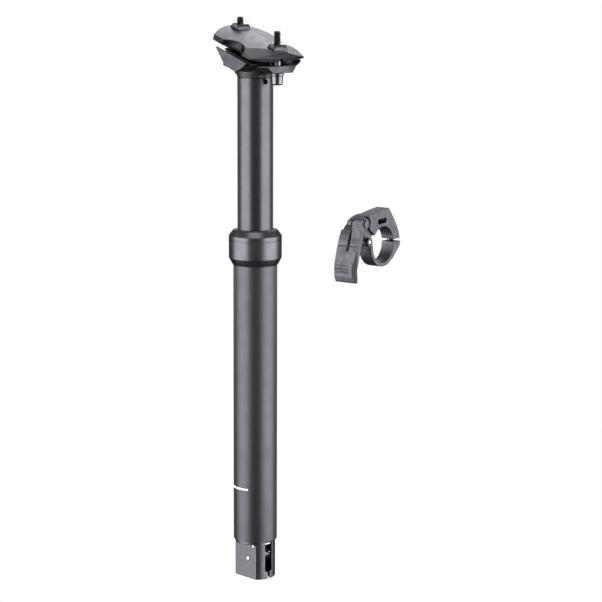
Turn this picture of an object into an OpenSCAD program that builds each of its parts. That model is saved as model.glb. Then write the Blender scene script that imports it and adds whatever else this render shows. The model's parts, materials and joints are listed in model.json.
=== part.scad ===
// Dropper seatpost with its handlebar remote.
// Origin: post axis at the lower edge of the seal collar.
// +Z up the post, +X forwards, +Y to the rider's left.

/* [Outer tube] */
// Outside diameter of the outer tube, the seat tube size
outer_d = 30.9; // [30:0.1:34.9]
// Wall of the outer tube
outer_wall = 1.75; // [1.6:0.05:2.4]
// Outer tube from the collar's lower edge to the foot
outer_len = 198.2; // [170:1:260]

/* [Seal collar] */
// Outside diameter of the collar
collar_d = 37.2; // [36:0.1:44]
// Height of the collar
collar_h = 24.4; // [22:0.2:32]
// Height of the cone at the collar's foot
collar_foot_cone = 5; // [2:0.5:6]
// Height of the cone at the collar's mouth
collar_mouth_cone = 3.9; // [2:0.1:5]

/* [Inner tube] */
// Outside diameter of the inner tube
inner_d = 25; // [23:0.1:25.4]
// Wall of the inner tube
inner_wall = 2; // [1.6:0.1:2.2]
// How far the saddle drops
travel = 100; // [60:5:100]
// Inner tube left showing above the collar when it is dropped
dropped_show = 5.9; // [2:0.1:20]
// Diameter of the vent hole near the top
vent_d = 3.4; // [2:0.1:5]
// Vent hole centre below the head joint
vent_below = 2.6; // [2.2:0.1:8]
// Direction of the vent hole, from straight ahead
vent_angle = -8; // [-90:1:90]

/* [Guides and seals] */
// Running gap between sliding faces
run_gap = 0.05; // [0.03:0.01:0.08]
// Gap of a bonded, screwed or pressed joint
bond_gap = 0.02; // [0.01:0.01:0.04]
// Number of guide keys
key_count = 3; // [2:1:4]
// Width of a guide key
key_w = 3; // [2:0.1:4]
// Length of a guide key
key_len = 12; // [6:1:16]
// How deep a key runs in the outer tube
key_depth = 0.9; // [0.6:0.1:0.9]
// Length of the upper guide bush
upper_bush_len = 26; // [16:1:30]
// Length of the lower guide bush
lower_bush_len = 7; // [5:1:12]
// Height of the wiper seal
wiper_h = 5.4; // [4:0.2:6]
// Height of the foam ring
foam_h = 3.6; // [2:0.2:4]
// Thickness of the bump ring on the foot
bump_h = 2.8; // [2:0.2:5]

/* [Cartridge] */
// Diameter of the hollow rod
rod_d = 9; // [8:0.5:9]
// Bore of the hollow rod
rod_bore = 3.4; // [3.2:0.1:4]
// Diameter of the valve pin
valve_pin_d = 2.6; // [2:0.1:2.8]
// Outside diameter of the gas cylinder
cyl_d = 20; // [18:0.5:20]
// Wall of the gas cylinder
cyl_wall = 1.5; // [1:0.1:2]
// Height of the gland, the piston and the floating piston
piston_h = 7; // [5:0.5:9]
// Stud that holds the cylinder to the head
cap_stud_d = 8; // [6:1:10]
// Height of the retaining ring under the cylinder
retainer_h = 3; // [2:0.5:5]
// Hexagon of the rod's jam nut, across flats
jam_nut_af = 12; // [11:0.5:12]
// Height of the jam nut
jam_nut_h = 4; // [3:0.5:5]

/* [Head] */
// Tilt of the rail clamp, nose down
clamp_tilt = 19.5; // [10:0.5:22]
// How far the clamp turns each way
tilt_travel = 8; // [2:1:8]
// Width of the head across its ears
head_w = 28; // [26:0.5:30]
// Front ear, from the post axis to its nose
front_reach = 29; // [28:0.5:32]
// Rear ear, from the post axis to its end
rear_reach = 20.5; // [20:0.5:23]
// Underside of the front ear above the head joint
ear_rise = 4; // [3.6:0.1:5]
// Top of the front ear above the head joint
ear_top = 9; // [8:0.2:9.4]
// Radius of the seat that the cradle turns in
seat_r = 22; // [21.6:0.1:22.4]
// Gap between the seat and the cradle
seat_gap = 0.25; // [0.2:0.05:0.4]
// Depth of the spigot in the inner tube
spigot_len = 23; // [15:1:30]

/* [Rail clamp] */
// Saddle rail diameter
rail_d = 7; // [7:0.1:7.2]
// Distance between the rail centres
rail_pitch = 44; // [43:0.5:45]
// Length of the rail grooves in the cradle
groove_len = 30; // [26:1:34]
// Rail plane below the line of the barrel nuts
rail_drop = 10; // [9.6:0.1:10.4]
// Distance between the barrel nuts
nut_pitch = 39.4; // [39:0.1:40]
// Height of the rail plane above the head joint, on the post axis
rail_rise = 17.1; // [17:0.1:17.6]
// Upper clamp, nose to tail
clamp_len = 52; // [50:0.5:54]
// Upper clamp, across the wings
clamp_w = 51; // [50.4:0.2:52]
// Radius of the clamp's rounded nose and tail, seen from above
nose_r = 36; // [32:1:44]
// Narrowest width of the upper clamp, between the wings
waist_w = 38; // [37:0.2:40]
// Thickness of the upper clamp at its nose
nose_h = 7.5; // [6:0.1:7.6]
// Crown radius of the upper clamp across its top
crown_r = 95; // [70:5:200]
// Half the gap between cradle and upper clamp
split_gap = 0.6; // [0.4:0.1:1]

/* [Clamp bolts] */
// Thread of the clamp bolts
bolt_d = 5; // [4.8:0.1:5.2]
// Largest diameter of a bolt head
bolt_head_d = 8.5; // [8:0.1:9]
// Height of the front bolt's head
front_head_h = 6.6; // [5:0.1:7]
// Height of the rear bolt's head
rear_head_h = 5.2; // [5:0.1:5.6]
// Diameter of the bolt washer
washer_d = 9.2; // [9:0.1:10]
// Thickness of the bolt washer
washer_h = 1.5; // [1:0.1:1.6]
// Diameter of a barrel nut
nut_d = 8; // [7.6:0.1:8.4]
// Length of a barrel nut
nut_len = 12; // [10:0.5:14]
// Front bolt's thread standing above its nut's centre
front_stud = 12.4; // [8:0.2:16]
// Rear bolt's thread standing above its nut's centre
rear_stud = 8.1; // [6:0.2:14]

/* [Foot] */
// Diameter of the foot
foot_d = 28.6; // [28:0.1:30]
// Width across the two flats
foot_flats = 19; // [17:0.2:21]
// Height of the foot below the outer tube
foot_h = 27.7; // [26.5:0.1:32]
// Height of the round ring above the flats
foot_ring_h = 2.2; // [1.6:0.1:3]
// Height of the plug inside the outer tube
plug_h = 7; // [6:0.5:10]
// Width of the slot in the foot
slot_w = 6.2; // [6:0.1:6.8]
// Top of the slot below the outer tube
slot_top = 0.8; // [0.6:0.1:1]
// Bottom of the slot below the outer tube
slot_bottom = 22.2; // [22:0.2:23]
// Width of the slit that the cable drops in through
cable_slit = 1.8; // [1.2:0.1:2.4]
// Diameter of the arm's pivot pin
pivot_pin_d = 3; // [2.5:0.1:3]
// Diameter of the cross pin
cross_pin_d = 2.4; // [2:0.1:2.4]
// Diameter of the cable barrel
barrel_d = 4.4; // [4:0.1:4.6]
// Thickness of the actuator arm
arm_w = 5.6; // [4.8:0.1:5.8]

/* [Remote] */
// Handlebar diameter that the remote clamps
bar_d = 22.2; // [22:0.1:22.4]
// Width of the remote's clamp along the bar
band_w = 9; // [8:0.2:11]
// Thickness of the lower band
band_wall = 2.4; // [2.2:0.1:3.2]
// Width of the lever along the bar
paddle_w = 15.5; // [14.6:0.1:18]
// Thickness of a lever ear
lever_ear = 2.5; // [2:0.1:3]
// Width of the slit in the lever
lever_slit = 1.5; // [1:0.1:2.4]

/* [Hidden] */
$fn = 96;
past = 1;

black = "#2a2a2c";
satin = "#3a3a3d";
silver = "#c4c6c8";
brass = "#b8923f";
rubber = "#161616";

outer_r = outer_d / 2;
outer_ir = outer_r - outer_wall;
neck_r = outer_r - 0.3;
collar_r = collar_d / 2;
inner_r = inner_d / 2;
inner_ir = inner_r - inner_wall;
bush_r = outer_ir - run_gap;
cyl_r = cyl_d / 2;
cyl_ir = cyl_r - cyl_wall;
rod_r = rod_d / 2;

wiper_wall = 1.7;
seal_r = inner_r + run_gap + wiper_wall;
mouth_r = seal_r + 1.4;
foot_lip = 0.4;
wiper_top = collar_h + 0.5;
wiper_bottom = wiper_top - wiper_h;
tube_top = wiper_bottom - foam_h;
joint_z = collar_h + dropped_show + travel;
plug_top = -outer_len + plug_h;
bump_top = plug_top + bump_h;
stop_gap = 0.2;
inner_bottom = bump_top + stop_gap + travel;
key_bottom = inner_bottom + lower_bush_len + 3;
key_tail = 0.8;
bush_top = tube_top;
bush_bottom = bush_top - upper_bush_len;
key_seat = 0.8;
key_tip = outer_ir + key_depth - 2 * run_gap;

gland_bottom = inner_bottom + retainer_h;
piston_bottom = gland_bottom + piston_h + stop_gap;
piston_top = piston_bottom + piston_h;
spigot_bottom = joint_z - spigot_len;
cap_flange = 3;
cap_plug = 8;
cap_stud_len = 11;
cyl_top = spigot_bottom - cap_flange;
floating_bottom = piston_top + travel + piston_h;

rail_z = joint_z + rail_rise;
rail_y = rail_pitch / 2;
nut_e = nut_pitch / 2;
function clamp_x(e, n) = e * cos(clamp_tilt) + n * sin(clamp_tilt);
function clamp_z(e, n) = rail_z - e * sin(clamp_tilt) + n * cos(clamp_tilt);
hinge_x = clamp_x(0, rail_drop);
hinge_z = clamp_z(0, rail_drop);
front_bolt_x = clamp_x(nut_e, rail_drop);
rear_bolt_x = clamp_x(-nut_e, rail_drop);
front_nut_z = clamp_z(nut_e, rail_drop);
rear_nut_z = clamp_z(-nut_e, rail_drop);
rear_ear_wall = 6.2;
ear_face = joint_z + ear_rise;
rear_face = hinge_z - sqrt(seat_r * seat_r - pow(rear_bolt_x - hinge_x, 2)) - rear_ear_wall;
washer_gap = 0.3;
bolt_gap = 0.3;
bolt_shift = 1.3;
head_half = head_w / 2;
top_n = rail_drop + 0.5;
wing_lip = 3.3;
window_n = 3.8;
window_step = 1.6;
boss_n = 3.8;
boss_e = 24.5;
waist_r = 12.5;
waist_e = 3;
clamp_nose_r = 78;
clamp_tail_r = 43;
corner_fall = 20.6;
corner_turn = 50.7;
corner_at = [11.9, 22, 7.9];
cradle_half = 13;
cradle_toe = cradle_half + 1.5;
cradle_way = seat_r + 4;
cradle_lip = 26.2;
lip_n = 0.8;
flank_h = 8.6;
flank_n = -0.4;
cradle_front = 20;
cradle_rear = 12;
flank_cut = [14.3, 9.6];

foot_r = foot_d / 2;
foot_bottom = -outer_len - foot_h;
slot_top_z = -outer_len - slot_top;
slot_bottom_z = -outer_len - slot_bottom;
slot_back = 6.5;
foot_edge = 0.3;
pivot_x = 2.5;
pivot_z = slot_top_z - 12.4;
cross_x = 8;
cross_z = slot_top_z - 2.6;
guide_x = 12;
guide_z = slot_top_z - 1.5;
guide_d = 1.8;
guide_seat = 1.8;
barrel_x = 10.6;
barrel_z = pivot_z + 3;
lobe_r = 1.6;
lobe_x = pivot_x - 4;
lobe_z = pivot_z + 2.3;
pin_bottom = lobe_z + lobe_r + run_gap;
pin_foot_d = 4.6;
pin_foot_h = 3;
housing_d = 5.2;
housing_depth = 2.2;

remote_at = [183.6, -64.3, 39.2];
remote_turn = 9;
bar_r = bar_d / 2;
band_r = bar_r + band_wall;
split_low = 0.5;
split_high = 2.1;
hinge_y = -bar_r - 3.1;
hinge_up = 3;
hinge_boss = 2.6;
band_pin_d = 2.4;
lug_y = bar_r + 7.2;
band_bolt_y = bar_r + 2.9;
band_bolt_d = 4;
band_bolt_seat = 7;
pivot_y = -bar_r - 7.5;
pivot_up = bar_r + 3.4;
pivot_bolt_d = 3.6;
eye_r = 3.4;
ear_gap = 0.1;
cheek = lever_ear + ear_gap;
far_eye_r = 2.8;
paddle_start = -paddle_w;
far_arm_end = -band_w - ear_gap;
slit_at = -7.5;
slit_end = -1.5;
edge_y = -bar_r - 16.2;
edge_cut = 3.4;
edge_run = 4;
grip_edge = -4.6;
cross_groove = 2;
grip_top = -10.4;
grip_step = 2;
knuckle = 2.2;
window_ends = [[-4.4, bar_r + 3.3], [1.9, bar_r + 3.7]];
window_r = 1.5;
anchor_d = 2.6;
anchor_at = [paddle_start + 3, 2.6, bar_r];

// A solid of revolution about the post axis from a list of radius and height.
module turned(points) {
    rotate_extrude() polygon(points);
}

module ring(r_in, r_out, z0, z1) {
    difference() {
        translate([0, 0, z0]) cylinder(r = r_out, h = z1 - z0);
        translate([0, 0, z0 - past]) cylinder(r = r_in, h = z1 - z0 + 2 * past);
    }
}

module disc(r, z0, z1) {
    translate([0, 0, z0]) cylinder(r = r, h = z1 - z0);
}

// A cylinder across the post, along Y.
module cross(r, x, z, len) {
    translate([x, 0, z]) rotate([90, 0, 0]) cylinder(r = r, h = len, center = true);
}

// An outline in X and Z, given its width across the post.
module side_plate(width) {
    rotate([90, 0, 0]) linear_extrude(height = width, center = true) children();
}

// An outline in Y and Z, drawn out along X.
module along_x(x0, x1) {
    translate([x0, 0, 0]) rotate([90, 0, 90]) linear_extrude(height = x1 - x0) children();
}

// A straight bar between two points of an outline.
module link(p, q, w) {
    d = q - p;
    translate(p) rotate(atan2(d[1], d[0])) translate([0, -w / 2]) square([norm(d), w]);
}

// A round-ended slot along X, cut upwards from z0 to z1.
module slot_x(x, r, half, z0, z1) {
    for (s = [-half, half]) translate([x + s, 0, z0]) cylinder(r = r, h = z1 - z0);
    translate([x - half, -r, z0]) cube([2 * half, 2 * r, z1 - z0]);
}

// Bars round the axis where the guide keys run, from radius x0 to x1.
module key_bars(x0, x1, width, z0, z1) {
    for (i = [0 : key_count - 1])
        rotate([0, 0, 180 + i * 360 / key_count])
            translate([x0, -width / 2, z0]) cube([x1 - x0, width, z1 - z0]);
}

module outer_tube() {
    color(black) difference() {
        union() {
            disc(outer_r, -outer_len, 0);
            disc(neck_r, -past, tube_top);
        }
        disc(outer_ir, -outer_len - past, tube_top + past);
        intersection() {
            key_bars(inner_r, outer_r, key_w + 2 * run_gap, plug_top, bush_bottom);
            disc(outer_ir + key_depth, -outer_len, tube_top);
        }
    }
}

module seal_collar() {
    color(black) turned([
        [neck_r + bond_gap, 0], [outer_r + foot_lip, 0], [collar_r, collar_foot_cone],
        [collar_r, collar_h - collar_mouth_cone], [mouth_r, collar_h], [seal_r + bond_gap, collar_h],
        [seal_r + bond_gap, tube_top], [neck_r + bond_gap, tube_top]]);
}

module wiper_seal() {
    r = inner_r + run_gap;
    color(rubber) turned([
        [r, wiper_bottom], [seal_r, wiper_bottom], [seal_r, collar_h], [seal_r - 0.4, wiper_top],
        [r + 0.5, wiper_top], [r, wiper_top - 0.9]]);
}

module foam_ring() {
    color("#3b3b30") ring(inner_r + run_gap, seal_r, tube_top, wiper_bottom);
}

module upper_bush() {
    color("#57575a") ring(inner_r + run_gap, outer_ir - bond_gap, bush_bottom, bush_top);
}

module foot() {
    color(satin) difference() {
        turned([[0, foot_bottom], [foot_r - foot_edge, foot_bottom], [foot_r, foot_bottom + foot_edge],
            [foot_r, -outer_len], [outer_ir - bond_gap, -outer_len], [outer_ir - bond_gap, plug_top],
            [0, plug_top]]);
        for (y = [-foot_d - foot_flats / 2, foot_flats / 2])
            translate([-foot_d, y, foot_bottom - past])
                cube([2 * foot_d, foot_d, foot_h - foot_ring_h + past]);
        disc(rod_r + bond_gap, slot_top_z - past, plug_top + past);
        translate([-slot_back, -slot_w / 2, slot_bottom_z])
            cube([foot_d, slot_w, slot_top_z - slot_bottom_z]);
        translate([barrel_x - cable_slit / 2, -cable_slit / 2, foot_bottom - past])
            cube([foot_r, cable_slit, foot_h - slot_bottom + 2 * past]);
        translate([barrel_x, 0, foot_bottom - past]) cylinder(d = housing_d, h = housing_depth + past);
        cross(pivot_pin_d / 2 + bond_gap, pivot_x, pivot_z, foot_d);
        cross(cross_pin_d / 2 + bond_gap, cross_x, cross_z, foot_d);
        cross(guide_d / 2 + bond_gap, guide_x, guide_z, slot_w + 2 * guide_seat);
    }
}

module bump_ring() {
    color(rubber) ring(inner_ir + 0.3, bush_r - 0.3, plug_top, bump_top);
}

module pivot_pin() {
    color(silver) cross(pivot_pin_d / 2, pivot_x, pivot_z, foot_flats + 0.4);
}

module cross_pin() {
    color(silver) cross(cross_pin_d / 2, cross_x, cross_z, foot_flats + 0.4);
}

// A short pin across the slot's top that guides the cable, seated in the slot's two walls.
module guide_pin() {
    color(silver) cross(guide_d / 2, guide_x, guide_z, slot_w + 2 * guide_seat - 2 * bond_gap);
}

module cartridge_rod() {
    color(silver) ring(rod_bore / 2, rod_r, slot_top_z, piston_top);
}

module rod_jam_nut() {
    color(silver) difference() {
        translate([0, 0, plug_top]) cylinder(r = jam_nut_af / 2 / cos(30), h = jam_nut_h, $fn = 6);
        disc(rod_r + bond_gap, plug_top - past, plug_top + jam_nut_h + past);
    }
}

module rod_piston() {
    color(brass) ring(rod_r + bond_gap, cyl_ir - run_gap, piston_bottom, piston_top);
}

module valve_pin() {
    color(silver) disc(valve_pin_d / 2, pin_bottom + pin_foot_h, piston_top - 2);
}

module valve_button() {
    color(silver) disc(pin_foot_d / 2, pin_bottom, pin_bottom + pin_foot_h);
}

module vent_hole(r0) {
    translate([0, 0, joint_z - vent_below]) rotate([0, 90, vent_angle])
        translate([0, 0, r0]) cylinder(d = vent_d, h = inner_r);
}

module inner_tube() {
    color(black) difference() {
        disc(inner_r, inner_bottom, joint_z);
        disc(inner_ir, inner_bottom - past, joint_z + past);
        key_bars(inner_r - key_seat, outer_r, key_w, key_bottom, key_bottom + key_len);
        vent_hole(inner_ir - past);
    }
}

module guide_keys() {
    color(brass) intersection() {
        key_bars(inner_r - key_seat + bond_gap, outer_r, key_w - 2 * bond_gap,
            key_bottom + bond_gap, key_bottom + key_len - bond_gap);
        disc(key_tip, key_bottom, key_bottom + key_len);
    }
}

module lower_bush() {
    color("#57575a")
        ring(inner_r + bond_gap, bush_r, inner_bottom + key_tail, inner_bottom + key_tail + lower_bush_len);
}

module retaining_ring() {
    color(silver) ring(cyl_r - 2.2, inner_ir - bond_gap, inner_bottom, gland_bottom);
}

module cartridge_cylinder() {
    color(silver) ring(cyl_ir, cyl_r, gland_bottom, cyl_top);
}

module cartridge_gland() {
    color(brass) ring(rod_r + run_gap, cyl_ir - bond_gap, gland_bottom, gland_bottom + piston_h);
}

module floating_piston() {
    color(brass) disc(cyl_ir - bond_gap, floating_bottom, floating_bottom + piston_h);
}

module cartridge_cap() {
    color(silver) {
        disc(cyl_ir - bond_gap, cyl_top - cap_plug, cyl_top);
        disc(cyl_r, cyl_top, spigot_bottom);
        disc(cap_stud_d / 2, spigot_bottom, spigot_bottom + cap_stud_len);
    }
}

// Seen from the side: the two ears, and the saddle between them that the seat is cut in.
module head_side() {
    rear_top = hinge_z - seat_r / 2;
    polygon([[-8, joint_z + 3], [12, joint_z + 3], [15, ear_face], [front_reach, ear_face],
        [front_reach, joint_z + ear_top], [hinge_x, joint_z + ear_top], [hinge_x, rear_top],
        [-rear_reach, rear_top], [-rear_reach, joint_z + 11.4], [-18.6, joint_z + 8.4],
        [-11, joint_z + 4.6]]);
}

module post_head() {
    front_face_draft = 8;
    tall = 2 * seat_r;
    color(black) difference() {
        union() {
            disc(inner_ir - bond_gap, spigot_bottom, joint_z);
            turned([[0, joint_z], [inner_r, joint_z], [inner_r + 0.1, joint_z + 1],
                [inner_r + 0.8, joint_z + 2.8], [head_half, joint_z + 4.6], [head_half, joint_z + 7],
                [0, joint_z + 7]]);
            intersection() {
                side_plate(head_w) head_side();
                translate([front_reach - nose_r, 0, joint_z]) cylinder(r = nose_r, h = tall);
                translate([nose_r - rear_reach, 0, joint_z]) cylinder(r = nose_r, h = tall);
                along_x(-2 * rear_reach, 2 * front_reach) polygon([
                    [-front_face_draft, joint_z + 2.8], [front_face_draft, joint_z + 2.8],
                    [head_half, joint_z + 8.2], [head_half, joint_z + tall],
                    [-head_half, joint_z + tall], [-head_half, joint_z + 8.2]]);
            }
        }
        cross(seat_r, hinge_x, hinge_z, 3 * head_w);
        slot_x(front_bolt_x, bolt_d / 2 + bolt_gap, bolt_shift, joint_z, hinge_z);
        slot_x(rear_bolt_x, bolt_d / 2 + bolt_gap, bolt_shift, joint_z + past, hinge_z);
        slot_x(rear_bolt_x, washer_d / 2 + bolt_gap, bolt_shift, joint_z + 0.7, rear_face);
        translate([0, 0, spigot_bottom - past])
            cylinder(d = cap_stud_d + 2 * bond_gap, h = cap_stud_len + 2 * past);
        vent_hole(inner_ir - 3);
    }
}

// The rail clamp's own frame: X along the rails, Z square to them, from the rail plane.
module in_clamp() {
    translate([0, 0, rail_z]) rotate([0, clamp_tilt, 0]) children();
}

module rail_grooves() {
    for (y = [-rail_y, rail_y])
        translate([0, y, 0]) rotate([0, 90, 0]) cylinder(d = rail_d, h = 2 * clamp_len, center = true);
}

// The bolts' way through the clamp, long enough for its tilt at a given depth below the nuts.
module bolt_ways(depth) {
    for (s = [-1, 1])
        translate([s * nut_e, 0, rail_drop]) rotate([0, -clamp_tilt, 0])
            slot_x(0, bolt_d / 2 + bolt_gap, depth * sin(tilt_travel), -2 * seat_r, seat_r);
}

module lower_cradle() {
    color(black) in_clamp() difference() {
        intersection() {
            along_x(-cradle_rear, cradle_front) polygon([
                [-cradle_half, -seat_r], [-cradle_toe, rail_drop - seat_r],
                [-cradle_lip, -flank_h], [-cradle_lip, lip_n], [-rail_y, lip_n],
                [-rail_y + rail_d / 2, -split_gap], [rail_y - rail_d / 2, -split_gap],
                [rail_y, lip_n], [cradle_lip, lip_n], [cradle_lip, -flank_h],
                [cradle_toe, rail_drop - seat_r], [cradle_half, -seat_r]]);
            cross(seat_r - seat_gap, 0, rail_drop, 2 * clamp_w);
        }
        rail_grooves();
        bolt_ways(cradle_way);
        for (s = [-1, 1])
            translate([0, s * (cradle_toe + clamp_w / 2), 0]) side_plate(clamp_w) polygon([
                [-cradle_rear - past, flank_n], [-cradle_rear, flank_n],
                [flank_cut[0] - cradle_rear, flank_n - flank_cut[1]],
                [flank_cut[0] - cradle_rear, -seat_r], [-cradle_rear - past, -seat_r]]);
    }
}

module nut_seat(e) {
    r = nut_d / 2 + run_gap;
    length = nut_len + 0.8;
    cross(r, e, rail_drop, length);
    translate([e - r, -length / 2, rail_drop]) cube([2 * r, length, nut_d]);
}

module upper_clamp() {
    nose_n = top_n - nose_h;
    color(black) in_clamp() difference() {
        intersection() {
            union() {
                translate([-clamp_len / 2, -clamp_w / 2, nose_n]) cube([clamp_len, clamp_w, nose_h]);
                translate([-groove_len / 2, -clamp_w / 2, split_gap])
                    cube([groove_len, clamp_w, top_n - split_gap]);
                translate([-boss_e, -nut_len / 2 - 3, boss_n])
                    cube([2 * boss_e, nut_len + 6, top_n - boss_n]);
            }
            translate([clamp_len / 2 - clamp_nose_r, 0, -past])
                cylinder(r = clamp_nose_r, h = 2 * top_n);
            translate([clamp_tail_r - clamp_len / 2, 0, -past])
                cylinder(r = clamp_tail_r, h = 2 * top_n);
            translate([0, 0, top_n - crown_r]) rotate([0, 90, 0])
                cylinder(r = crown_r, h = 2 * clamp_len, center = true, $fn = 192);
        }
        for (s = [-1, 1]) {
            translate([waist_e, s * (waist_w / 2 + waist_r), window_n])
                cylinder(r = waist_r, h = 2 * top_n);
            translate([waist_e, s * (waist_w / 2 + waist_r + window_step), -past])
                cylinder(r = waist_r, h = 2 * top_n);
            translate([corner_at[0], s * corner_at[1], corner_at[2]]) rotate([0, 0, s * corner_turn])
                rotate([0, corner_fall, 0]) translate([-clamp_len, -clamp_w, 0])
                    cube([2 * clamp_len, 2 * clamp_w, top_n]);
            translate([-clamp_len, s * clamp_w / 2 - clamp_w / 2 + s * rail_y, -past])
                cube([2 * clamp_len, clamp_w, wing_lip + past]);
            nut_seat(s * nut_e);
        }
        rail_grooves();
        bolt_ways(rail_drop);
    }
}

module barrel_nut(x, z) {
    color(silver) difference() {
        cross(nut_d / 2, x, z, nut_len);
        translate([x, 0, z - nut_d]) cylinder(r = bolt_d / 2 + run_gap, h = 2 * nut_d);
    }
}

module front_nut() {
    barrel_nut(front_bolt_x, front_nut_z);
}

module rear_nut() {
    barrel_nut(rear_bolt_x, rear_nut_z);
}

// A cap screw standing on its head: the ear's face, its head and the top of its thread.
module clamp_bolt(x, face, head_h, tip) {
    head_top = face - washer_gap - washer_h;
    r = bolt_head_d / 2;
    socket = 4;
    color(silver) translate([x, 0, 0]) difference() {
        turned([[0, head_top - head_h], [r - 1, head_top - head_h],
            [r - 0.6, head_top - head_h + 0.4], [r, head_top - 1.2], [r, head_top],
            [bolt_d / 2, head_top], [bolt_d / 2, tip - 0.6], [bolt_d / 2 - 0.6, tip], [0, tip]]);
        translate([0, 0, head_top - head_h - past])
            cylinder(r = socket / 2 / cos(30), h = head_h / 2 + past, $fn = 6);
    }
}

module bolt_washer(x, face) {
    color(silver) translate([x, 0, 0])
        ring(bolt_d / 2 + bond_gap, washer_d / 2, face - washer_gap - washer_h, face - washer_gap);
}

module front_bolt() {
    clamp_bolt(front_bolt_x, ear_face, front_head_h, front_nut_z + front_stud);
}

module rear_bolt() {
    clamp_bolt(rear_bolt_x, rear_face, rear_head_h, rear_nut_z + rear_stud);
}

module front_washer() {
    bolt_washer(front_bolt_x, ear_face);
}

module rear_washer() {
    bolt_washer(rear_bolt_x, rear_face);
}

module actuator_arm() {
    boss_r = pivot_pin_d / 2 + 1.1;
    end_r = barrel_d / 2 + 0.9;
    mouth = barrel_d - 1;
    color(silver) side_plate(arm_w) difference() {
        union() {
            translate([pivot_x, pivot_z]) circle(r = boss_r);
            translate([barrel_x, barrel_z]) circle(r = end_r);
            translate([lobe_x, lobe_z]) circle(r = lobe_r);
            link([pivot_x, pivot_z], [lobe_x, lobe_z], 2 * lobe_r);
            link([pivot_x, pivot_z], [barrel_x, barrel_z], 2 * lobe_r);
        }
        translate([pivot_x, pivot_z]) circle(r = pivot_pin_d / 2 + run_gap);
        translate([barrel_x, barrel_z]) circle(r = barrel_d / 2 + bond_gap);
        translate([barrel_x + 1, barrel_z - mouth / 2]) square([foot_r, mouth]);
    }
}

module cable_barrel() {
    cable_d = 1.6;
    color(silver) difference() {
        cross(barrel_d / 2, barrel_x, barrel_z, arm_w - 0.2);
        translate([barrel_x, 0, barrel_z - barrel_d]) cylinder(d = cable_d, h = 2 * barrel_d);
    }
}

// The remote's own frame: X along the handlebar, its near face at 0, Z up from the bar's centre.
module at_remote() {
    translate(remote_at) rotate([0, 0, remote_turn]) children();
}

module dot(y, z, r) {
    translate([y, z]) circle(r = r);
}

module remote_bracket() {
    color(black) at_remote() difference() {
        union() {
            along_x(-band_w, 0) polygon([
                [bar_r + 6.5, split_high], [bar_r + 6.2, 4.4], [bar_r + 4.4, 8.6], [bar_r + 1, bar_r + 2.9],
                [bar_r - 4.6, bar_r + 10], [bar_r - 5.9, bar_r + 11], [-3.7, bar_r + 9.9],
                [-10, bar_r + 8.9], [-15.5, bar_r + 8], [-18.8, bar_r + 6.4], [pivot_y - 2.4, pivot_up + 0.6],
                [pivot_y - 2.2, pivot_up - 2.8], [pivot_y + 1, pivot_up - eye_r - 1],
                [hinge_y - 2.4, hinge_up + 2], [hinge_y, hinge_up - hinge_boss],
                [-bar_r + 2, hinge_up], [0, split_high]]);
            along_x(-band_w, 0) dot(pivot_y, pivot_up, 2.2);
        }
        along_x(-cheek, past) dot(pivot_y, pivot_up, eye_r + 1.3);
        along_x(-knuckle, past) polygon([[-bar_r - 6.4, bar_r + 2], [-bar_r + 2.2, bar_r - 4.8],
            [-bar_r + 2.2, 0], [-2 * bar_r, 0], [-2 * bar_r, bar_r - 1]]);
        along_x(-2 * band_w, past) {
            circle(r = bar_r);
            dot(pivot_y, pivot_up, pivot_bolt_d / 2 + bond_gap);
            dot(hinge_y, hinge_up, band_pin_d / 2 + bond_gap);
            for (p = window_ends) dot(p[0], p[1], window_r);
            link(window_ends[0], window_ends[1], 2 * window_r - 0.1);
        }
        for (a = [[-band_w - past, -band_w + knuckle], [-knuckle, past]])
            along_x(a[0], a[1]) dot(hinge_y, hinge_up, hinge_boss + 0.25);
        translate([-band_w / 2, band_bolt_y, 0]) {
            cylinder(d = band_bolt_d + 2 * bond_gap, h = 2 * bar_r);
            translate([0, 0, band_bolt_seat]) cylinder(d = band_bolt_d + 2.8, h = 2 * bar_r);
        }
    }
}

module remote_band() {
    color(black) at_remote() difference() {
        union() {
            along_x(-band_w, 0) difference() {
                union() {
                    circle(r = band_r);
                    polygon([[0, -band_r], [bar_r - 1, -band_r * 0.73], [lug_y - 0.2, -2.2],
                        [lug_y, split_low], [0, split_low]]);
                }
                translate([-2 * bar_r, split_low]) square([4 * bar_r, 2 * bar_r]);
                translate([-2 * bar_r, hinge_up - 2.4]) square([bar_r + 2, bar_r]);
            }
            for (a = [-band_w, -knuckle]) along_x(a, a + knuckle) {
                dot(hinge_y, hinge_up, hinge_boss);
                link([hinge_y + 0.9, hinge_up], [-bar_r - 1, -2], 2.6);
            }
        }
        along_x(-2 * band_w, past) {
            circle(r = bar_r);
            dot(hinge_y, hinge_up, band_pin_d / 2 + bond_gap);
        }
        translate([-band_w / 2, band_bolt_y, -bar_r])
            cylinder(d = band_bolt_d + 2 * bond_gap, h = 2 * bar_r);
    }
}

module band_hinge_pin() {
    color(silver) at_remote() along_x(-band_w, 0) dot(hinge_y, hinge_up, band_pin_d / 2);
}

module band_bolt() {
    head_h = 2.6;
    color(silver) at_remote() translate([-band_w / 2, band_bolt_y, 0]) {
        disc(band_bolt_d / 2, -1.6, band_bolt_seat);
        disc(band_bolt_d / 2 + 1.2, band_bolt_seat, band_bolt_seat + head_h);
    }
}

// The lever's outline from the side, its upright by the near ear, and the far arm that pulls the cable.
module paddle_side() {
    polygon([[-22.4, 10.6], [-24.2, 7.6], [-25.6, 4.4], [-26.9, 0.6], [-28.2, -3.6], [-29.8, -9.8],
        [-30.2, -13], [-29.8, -17], [-28.7, -20], [-27.8, -20.8], [-27.1, -20.4], [-27.3, -12], [-25, -4.3],
        [-22.8, 2.2], [-20.9, 7.6], [-20.2, 9.8]]);
}

module upright_side() {
    polygon([[-25, 5], [-24.4, 9], [-23.6, 13], [-22.6, 16.8], [-21.6, 16.8], [-21.7, 12], [-21.6, 5]]);
}

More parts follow.
